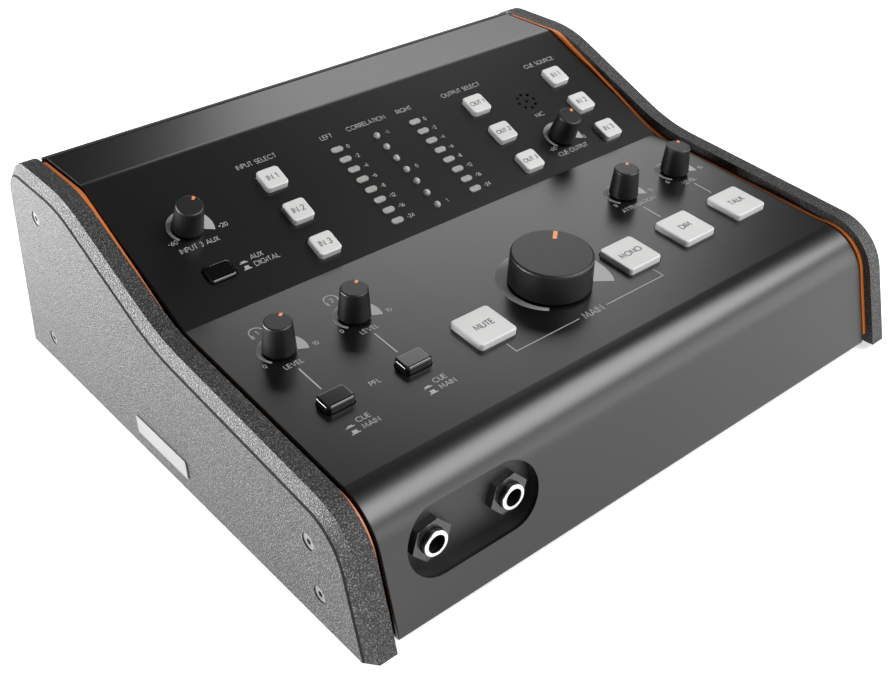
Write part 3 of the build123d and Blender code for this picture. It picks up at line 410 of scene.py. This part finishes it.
# Each letter is its width and its strokes, at a height of 1.
FULL = arc(0.5, 0.5, 0.5, 0.5, 0, 360, 24)
BOWL = [(0, 0), (0, 1), (0.26, 1), *arc(0.26, 0.74, 0.26, 0.26, 80, -80), (0.26, 0.48), (0, 0.48)]
LETTERS = {
    "A": (0.82, [[(0, 0), (0.41, 1), (0.82, 0)], [(0.13, 0.3), (0.69, 0.3)]]),
    "C": (0.88, [arc(0.5, 0.5, 0.5, 0.5, 42, 318, 18)]),
    "D": (0.80, [[(0, 0), (0, 1), (0.3, 1), *arc(0.3, 0.5, 0.5, 0.5, 80, -80), (0.3, 0), (0, 0)]]),
    "E": (0.48, [[(0.48, 1), (0, 1), (0, 0), (0.48, 0)], [(0, 0.52), (0.44, 0.52)]]),
    "F": (0.46, [[(0.46, 1), (0, 1), (0, 0)], [(0, 0.52), (0.42, 0.52)]]),
    "G": (0.98, [[*arc(0.5, 0.5, 0.5, 0.5, 42, 355, 18), (0.55, 0.46)]]),
    "H": (0.64, [[(0, 0), (0, 1)], [(0.64, 0), (0.64, 1)], [(0, 0.52), (0.64, 0.52)]]),
    "I": (0.02, [[(0, 0), (0, 1)]]),
    "K": (0.60, [[(0, 0), (0, 1)], [(0.56, 1), (0.02, 0.42)], [(0.2, 0.6), (0.6, 0)]]),
    "L": (0.42, [[(0, 1), (0, 0), (0.42, 0)]]),
    "M": (0.88, [[(0, 0), (0.12, 1), (0.44, 0.15), (0.76, 1), (0.88, 0)]]),
    "N": (0.66, [[(0, 0), (0, 1), (0.66, 0), (0.66, 1)]]),
    "O": (1.00, [FULL]),
    "P": (0.52, [BOWL]),
    "R": (0.54, [BOWL, [(0.24, 0.48), (0.52, 0)]]),
    "S": (0.50, [[*arc(0.26, 0.75, 0.23, 0.25, 40, 255), *arc(0.25, 0.26, 0.25, 0.26, 75, -140)]]),
    "T": (0.52, [[(0.26, 0), (0.26, 1)], [(0, 1), (0.52, 1)]]),
    "U": (0.62, [[(0, 1), *arc(0.31, 0.31, 0.31, 0.31, 180, 360), (0.62, 1)]]),
    "V": (0.72, [[(0, 1), (0.36, 0), (0.72, 1)]]),
    "X": (0.62, [[(0, 0), (0.6, 1)], [(0, 1), (0.62, 0)]]),
    "0": (0.56, [arc(0.28, 0.5, 0.28, 0.5, 0, 360, 20)]),
    "1": (0.24, [[(0, 0.8), (0.22, 1), (0.22, 0)]]),
    "2": (0.52, [[*arc(0.26, 0.74, 0.26, 0.26, 165, -40), (0, 0), (0.52, 0)]]),
    "3": (0.50, [[*arc(0.24, 0.76, 0.22, 0.24, 150, -80), *arc(0.24, 0.27, 0.26, 0.27, 80, -150)]]),
    "4": (0.58, [[(0.44, 0), (0.44, 1), (0, 0.28), (0.58, 0.28)]]),
    "6": (0.56, [[(0.38, 1), (0.06, 0.46)], arc(0.28, 0.3, 0.28, 0.3, 0, 360, 18)]),
    "8": (0.52, [arc(0.26, 0.76, 0.21, 0.24, 0, 360, 16), arc(0.26, 0.26, 0.26, 0.26, 0, 360, 16)]),
    "-": (0.34, [[(0, 0.46), (0.34, 0.46)]]),
    "+": (0.44, [[(0, 0.46), (0.44, 0.46)], [(0.22, 0.24), (0.22, 0.68)]]),
    " ": (0.22, []),
}
LETTER_GAP = 0.22


def text_width(words, height):
    return height * (sum(LETTERS[c][0] for c in words) + LETTER_GAP * (len(words) - 1))


def write(shape, words, x, slope, height, width, align="centre"):
    """Draws words with their middle at a place; align says what x is."""
    wide = text_width(words, height)
    left = {"centre": x - wide / 2, "left": x, "right": x - wide}[align]
    base = -slope - height / 2
    for letter in words:
        advance, strokes = LETTERS[letter]
        for i, stroke in enumerate(strokes):
            line = [(left + height * px, base + height * py) for px, py in stroke]
            shape.stroke(line, width, 0.0, PRINT_T + STROKE_STEP * i)
        left += height * (advance + LETTER_GAP)


# ---------------------------------------------------------------- panel print
PRINT_T = 0.045
STROKE_STEP = 0.006  # each next stroke of a letter is this much thicker, so that none share a face
OVER_LINE = 0.008  # a solid mark's extra thickness over the line that it touches
HEADING = 2.15  # letter heights
SCALE_TEXT = 1.75
DIAL_TEXT = 1.9
LABEL = 2.1
THIN = 0.27  # line widths
LINE = 0.55
HEADING_ROW = 16.5


def crescent(shape, x, slope, inner, start, end, outer_start, outer_end, flat):
    """A dial's level band: it widens clockwise and ends on a flat below the knob."""
    steps = 48
    left, right = [], []
    for i in range(steps + 1):
        turn = radians(start + (end - start) * i / steps)
        outer = outer_start + (outer_end - outer_start) * i / steps
        low = -flat / cos(turn) if cos(turn) < -1e-3 else outer
        near, far = min(inner, low), min(outer, low)
        left.append((x + far * sin(turn), -slope + far * cos(turn)))
        right.append((x + near * sin(turn), -slope + near * cos(turn)))
    shape.strip(left, right, 0.0, PRINT_T)


def headphones(shape, x, slope, number):
    """A headset symbol with its output's number inside."""
    shape.stroke(arc(x, -slope - 0.4, 2.7, 2.9, 200, -20, 16), 0.45, 0.0, PRINT_T)
    for side in (-1, 1):
        cx = x + side * 2.55
        shape.slab(rectangle(cx, -slope - 2.9, 0.55, 2.0), 0.0, PRINT_T + OVER_LINE)
    write(shape, str(number), x, slope + 0.6, 2.0, 0.36)


def latch_symbols(shape, x, slope, pitch):
    """The two states of a latching button: pressed in above, standing out below."""
    for row, height in ((0, 0.75), (1, 1.55)):
        base = -slope - row * pitch - 0.75
        shape.stroke([(x - 1.65, base), (x + 1.65, base)], 0.42, 0.0, PRINT_T)
        shape.slab(rectangle(x, base, 0.95, height), 0.0, PRINT_T + OVER_LINE)


upper_print = Shape()
INPUT_X, _, _ = UPPER.reach("input_button_1")
OUTPUT_X, _, _ = UPPER.reach("output_button_1")
CUE_X, _, _ = UPPER.reach("cue_button_1")
AUX_X, AUX_ROW = UPPER.reach("aux_knob")[:2]
LATCH_X, LATCH_ROW = UPPER.reach("aux_latch_button")[:2]
CUE_KNOB_X, CUE_KNOB_ROW = UPPER.reach("cue_output_knob")[:2]
MIC_X, MIC_ROW = UPPER.reach("talkback_mic")[:2]
METER_LAMP_HALF = 2.7
METER_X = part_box("level_leds")[1].x / MM - METER_LAMP_HALF
METER_TOP, METER_PITCH = 24.5, 6.0
PHASE_TOP, PHASE_PITCH = 24.5, 7.0

for words, x in (("INPUT SELECT", INPUT_X), ("LEFT", -METER_X), ("CORRELATION", 0.0), ("RIGHT", METER_X),
                 ("OUTPUT SELECT", OUTPUT_X), ("CUE SOURCE", CUE_X)):
    write(upper_print, words, x, HEADING_ROW, HEADING, THIN)
for i, words in enumerate(("0", "-2", "-4", "-6", "-8", "-12", "-16", "-24")):
    for x in (-METER_X, METER_X):
        write(upper_print, words, x + 4.9, METER_TOP + i * METER_PITCH, SCALE_TEXT, THIN, "left")
for i, words in enumerate(("-1", "0", "1")):
    write(upper_print, words, 5.3, PHASE_TOP + 3 * i * PHASE_PITCH, SCALE_TEXT, THIN)
AUX_WORDS = (("-60", -8.4, 4.1, DIAL_TEXT), ("+20", 12.5, 4.1, DIAL_TEXT), ("INPUT 3 AUX", 0.0, 8.9, LABEL))
for words, dx, dy, height in AUX_WORDS:
    write(upper_print, words, AUX_X + dx, AUX_ROW + dy, height, THIN)
CUE_WORDS = (("-60", -8.7, 4.2, DIAL_TEXT), ("0", 10.3, 4.2, DIAL_TEXT), ("CUE OUTPUT", 0.0, 8.2, LABEL))
for words, dx, dy, height in CUE_WORDS:
    write(upper_print, words, CUE_KNOB_X + dx, CUE_KNOB_ROW + dy, height, THIN)
write(upper_print, "MIC", MIC_X, MIC_ROW + 9.1, LABEL, THIN)
write(upper_print, "AUX", LATCH_X + 13.5, LATCH_ROW - 1.0, LABEL, THIN, "left")
write(upper_print, "DIGITAL", LATCH_X + 13.5, LATCH_ROW + 2.4, LABEL, THIN, "left")
latch_symbols(upper_print, LATCH_X + 10.1, LATCH_ROW - 0.6, 3.1)

lower_print = Shape()
for number, knob in ((1, "phones_1_knob"), (2, "phones_2_knob")):
    x, row, _ = LOWER.reach(knob)
    headphones(lower_print, x - 0.8, row - 13.3, number)
    write(lower_print, "LEVEL", x, row + 8.6, LABEL, THIN)
    lower_print.stroke([(x, -row - 11.6), (x, -row - 24.6)], LINE, 0.0, PRINT_T)
    write(lower_print, "CUE", x + 0.1, row + 43.6, LABEL, THIN, "left")
    write(lower_print, "MAIN", x + 0.1, row + 47.1, LABEL, THIN, "left")
    latch_symbols(lower_print, x - 3.2, row + 44.2, 3.3)
for knob, words in (("attenuation_knob", "ATTENUATION"), ("talk_level_knob", "LEVEL")):
    x, row, _ = LOWER.reach(knob)
    write(lower_print, words, x, row + 8.6, LABEL, THIN)
    lower_print.stroke([(x, -row - 11.3), (x, -row - 20.4)], LINE, 0.0, PRINT_T)
LATCH_LEFT, LATCH_RIGHT = (LOWER.reach(f"phones_latch_button_{i}")[0] for i in (1, 2))
write(lower_print, "PFL", (LATCH_LEFT + LATCH_RIGHT) / 2 + 0.3, 60.3, LABEL, THIN)

for knob in SMALL_KNOBS:
    panel = panel_of(knob)
    shape = upper_print if panel is UPPER else lower_print
    x, row, _ = panel.reach(f"{knob}_knob")
    crescent(shape, x, row, 6.15, -125, 118, 7.0, 10.2, 5.3)
    if panel is LOWER:
        write(shape, "0", x - 8.3, row + 3.9, DIAL_TEXT, THIN)
        write(shape, "10", x + 12.1, row + 3.9, DIAL_TEXT, THIN)

MAIN_X, MAIN_ROW, _ = LOWER.reach("main_knob")
crescent(lower_print, MAIN_X, MAIN_ROW, 15.95, -136, 125, 17.6, 24.6, 13.9)
MUTE_X = LOWER.reach("mute_button")[0]
MONO_X = LOWER.reach("mono_button")[0]
BRACKET_TOP, BRACKET_ROW = 71.5, 76.6
write(lower_print, "MAIN", MAIN_X, BRACKET_ROW, 3.1, 0.36)
for x, gap in ((MUTE_X + 1.3, MAIN_X - 6.9), (MONO_X + 1.4, MAIN_X + 6.9)):
    lower_print.stroke([(x, -BRACKET_TOP), (x, -BRACKET_ROW), (gap, -BRACKET_ROW)], 0.4, 0.0, PRINT_T)

upper_print.piece("upper_panel_print", PRINT, UPPER.matrix(0, 0, 0.004), "chassis", "cover_paint")
lower_print.piece("lower_panel_print", PRINT, LOWER.matrix(0, 0, 0.004), "chassis", "cover_paint")

# ---------------------------------------------------------------- key legends and knob pointers
KEY_LEGENDS = {
    **{f"input_button_{i}": f"IN {i}" for i in (1, 2, 3)},
    **{f"output_button_{i}": f"OUT {i}" for i in (1, 2, 3)},
    **{f"cue_button_{i}": f"IN {i}" for i in (1, 2, 3)},
    "mute_button": "MUTE", "mono_button": "MONO", "dim_button": "DIM", "talk_button": "TALK",
}
for button, words in KEY_LEGENDS.items():
    panel = panel_of(button)
    x, row, top = panel.reach(button)
    legend = Shape()
    big = button in BIG_BUTTONS
    height = 2.6 if big else 2.5
    wide = text_width(words, height)
    height *= min(1.0, (12.0 if big else 7.4) / wide)
    write(legend, words, 0, 0, height, 0.38 if big else 0.34)
    legend.piece(f"{button}_legend", KEY_PRINT, panel.matrix(x, row, top + 0.003), button, "button_white")


def pointer(knob, near, far, width):
    """An orange inlay on a knob's top, from near to far out from its centre."""
    panel = panel_of(knob)
    x, row, top = panel.reach(f"{knob}_knob")
    inlay = Shape()
    along = Vector((sin(POINTER_TURN), cos(POINTER_TURN)))
    line = [tuple(along * reach) for reach in (near, (near + far) / 2, far)]
    inlay.stroke(line, width, -0.1, 0.06)
    inlay.piece(f"{knob}_pointer", POINTER, panel.matrix(x, row, top), f"{knob}_control", "orange_paint")


for knob in SMALL_KNOBS:
    pointer(knob, 2.9, 4.6, 1.1)
pointer("main", 9.3, 14.4, 1.6)

# ---------------------------------------------------------------- rear sockets
REAR_OUT = Vector(next(m for m in RECORD["mounts"] if m["name"] == "phono_socket_1")["axis"])
INSERT_OUT = 3.4  # an insert's face, out from its socket's mount
for number, material in enumerate(INSERT_COLOURS.values(), start=1):
    mount = next(m for m in RECORD["mounts"] if m["name"] == f"phono_socket_{number}")
    across = Vector((-1, 0, 0))
    turn = axes(across, REAR_OUT.cross(across), REAR_OUT)
    end = Vector(mount["pos_m"]) + REAR_OUT * INSERT_OUT * MM
    face = Matrix.Translation(end) @ turn @ Matrix.Scale(MM, 4)
    ring = Shape()
    ring.strip(arc(0, 0, 3.6, 3.6, 0, 345, 23), arc(0, 0, 1.75, 1.75, 0, 345, 23), -0.5, 0.06, True)
    ring.piece(f"phono_insert_{number}", material, face, "chassis", "phono_metal")

# ---------------------------------------------------------------- floor, light and camera
LOW, HIGH = cad_box
SPAN = max(HIGH[i] - LOW[i] for i in range(3))


FLOOR_HALF = 12.0 * SPAN
floor_mesh = bpy.data.meshes.new("studio_floor")
floor_corners = [(x, y, 0) for x, y in rectangle(0, -FLOOR_HALF, FLOOR_HALF, 2 * FLOOR_HALF)]
floor_mesh.from_pydata(floor_corners, [], [(0, 1, 2, 3)])
floor = bpy.data.objects.new("studio_floor", floor_mesh)
bpy.context.scene.collection.objects.link(floor)
floor_paper = moulded("floor_paper", (0.90, 0.90, 0.90), (0.93, 0.93, 0.93), 0.85, 0.02, 2.0, specular=0.1)
floor_glow = floor_paper.node_tree.nodes["Principled BSDF"].inputs
floor_glow["Emission Color"].default_value = (1, 1, 1, 1)
floor_glow["Emission Strength"].default_value = 0.5
floor.data.materials.append(floor_paper)

world = bpy.data.worlds.new("studio")
bpy.context.scene.world = world
world.use_nodes = True
world.node_tree.nodes["Background"].inputs[0].default_value = (1.0, 1.0, 1.0, 1)
world.node_tree.nodes["Background"].inputs[1].default_value = 0.01


AIM = Vector((0, 0, 0.05))  # where every light points


def away_from(azimuth, elevation):
    """A direction, in radians, with azimuth from the front towards the right."""
    flat = cos(elevation)
    return Vector((sin(azimuth) * flat, -cos(azimuth) * flat, sin(elevation)))


def softbox(name, azimuth, elevation, distance, size, power):
    """A rectangular soft light, its angles in degrees and its size across and up in metres."""
    away = away_from(radians(azimuth), radians(elevation))
    light = bpy.data.lights.new(name, "AREA")
    light.shape = "RECTANGLE"
    light.size, light.size_y = size
    light.energy = power
    lamp = bpy.data.objects.new(name, light)
    turn = away.to_track_quat("Z", "Y").to_matrix().to_4x4()
    lamp.matrix_world = Matrix.Translation(AIM + away * distance) @ turn
    bpy.context.scene.collection.objects.link(lamp)


softbox("rear_softbox", 137, 34, 1.6, (0.95, 0.8), 6.1)
softbox("right_softbox", 40, 47, 1.6, (1.6, 0.75), 33)
softbox("low_softbox", 43, 12, 1.5, (2.4, 0.6), 15)
softbox("left_softbox", -124, 5, 1.2, (1.2, 0.36), 62)
softbox("top_softbox", -50, 70, 1.6, (1.0, 1.0), 1.5)

CAMERA_AT = (-0.26414, -0.33259, 0.28184)
AZIMUTH, ELEVATION, ROLL = radians(-37.680), radians(30.643), radians(-2.867)
FOCAL_MM = 48.425
SHIFT = (0.01832, -0.06476)  # across and up, in picture widths
back = away_from(AZIMUTH, ELEVATION)
level = (-back).cross(Vector((0, 0, 1))).normalized()
above = level.cross(-back)
right = cos(ROLL) * level + sin(ROLL) * above
upward = cos(ROLL) * above - sin(ROLL) * level
lens_data = bpy.data.cameras.new("camera")
lens_data.sensor_width = 36
lens_data.lens = FOCAL_MM
lens_data.shift_x, lens_data.shift_y = SHIFT
lens_data.clip_start = 0.01
camera = bpy.data.objects.new("camera", lens_data)
camera.matrix_world = Matrix.Translation(CAMERA_AT) @ axes(right, upward, back)
bpy.context.scene.collection.objects.link(camera)
bpy.context.scene.camera = camera
bpy.context.scene.view_settings.view_transform = "Standard"
